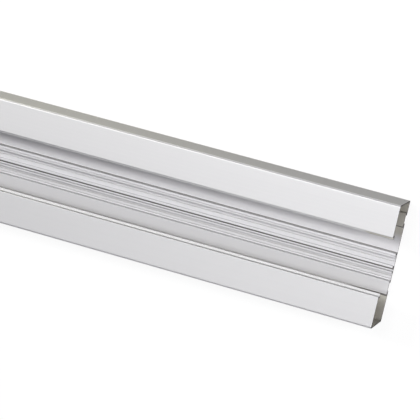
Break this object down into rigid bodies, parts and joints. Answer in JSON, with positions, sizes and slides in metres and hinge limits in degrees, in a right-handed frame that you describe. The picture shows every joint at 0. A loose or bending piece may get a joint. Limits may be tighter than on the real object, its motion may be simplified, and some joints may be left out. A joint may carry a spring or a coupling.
{
  "type": "aluminium extrusion profile",
  "caption": "Long open C-shaped aluminium trunking base, extruded in one piece, with stepped front lips for a snap-in cover, a hooked device rail and undercut back slots.",
  "frame": {"origin": "middle of the length and width, on the back face that it lies on", "axes": "+X along the length, towards the cut end that the picture shows; +Y towards the flange that is uppermost in the picture; +Z out of the open front"},
  "size_m": [2, 0.17, 0.065],
  "materials": {
    "profile": "satin natural anodised, saw-cut ends"
  },
  "bodies": {
    "root": {"profile": "profile"}
  },
  "joints": []
}
